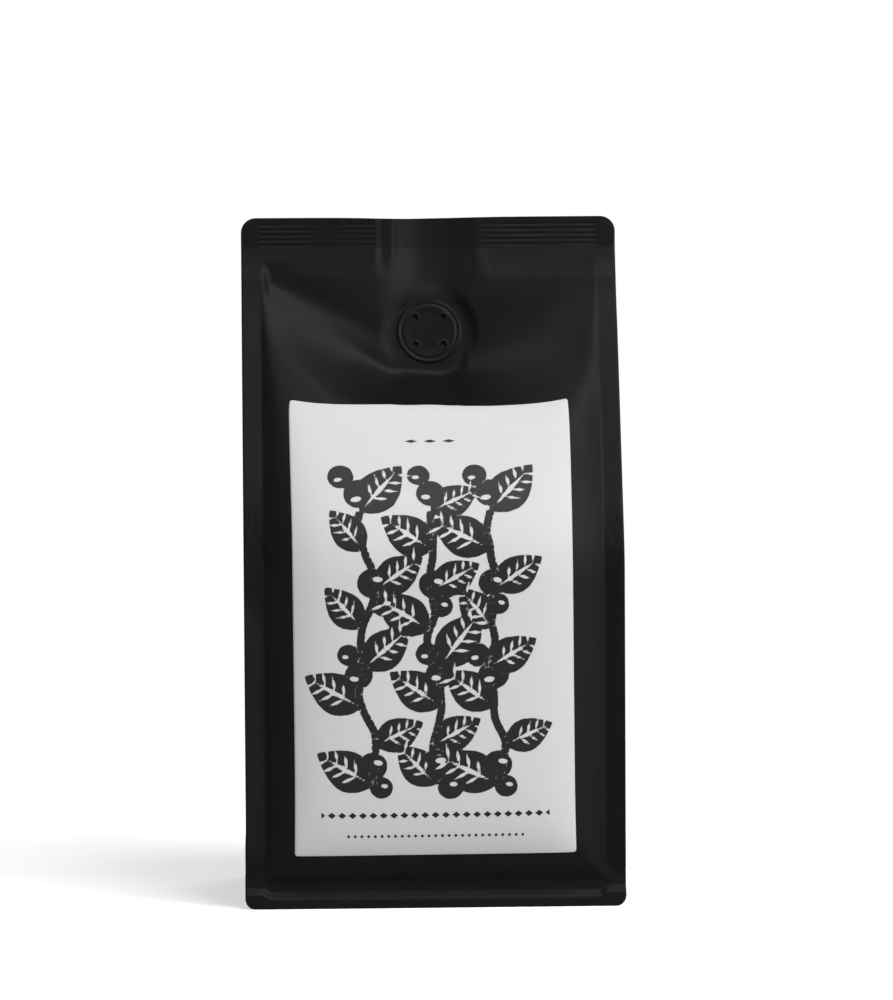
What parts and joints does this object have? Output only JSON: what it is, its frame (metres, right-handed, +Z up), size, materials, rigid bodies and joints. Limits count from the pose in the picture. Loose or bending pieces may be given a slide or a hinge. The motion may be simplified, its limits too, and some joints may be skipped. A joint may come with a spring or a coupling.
{
  "type": "coffee bag",
  "caption": "Flat-bottom coffee bag in matte black film with corner seals, a crimped top seal, a round degassing valve and a blank-bordered paper label on its bulging front",
  "frame": {"origin": "on the ground, under the middle of the bag", "axes": "+Z up, the labelled front faces -Y, +X to the right as seen from the front"},
  "size_m": [0.1256, 0.1005, 0.2265],
  "materials": {
    "film": "matt black laminated film",
    "paper": "matt white label paper printed in black",
    "valve_film": "matt black film drawn over a valve disc"
  },
  "bodies": {
    "root": {"pouch": "film", "label": "paper", "valve": "valve_film"}
  },
  "joints": []
}
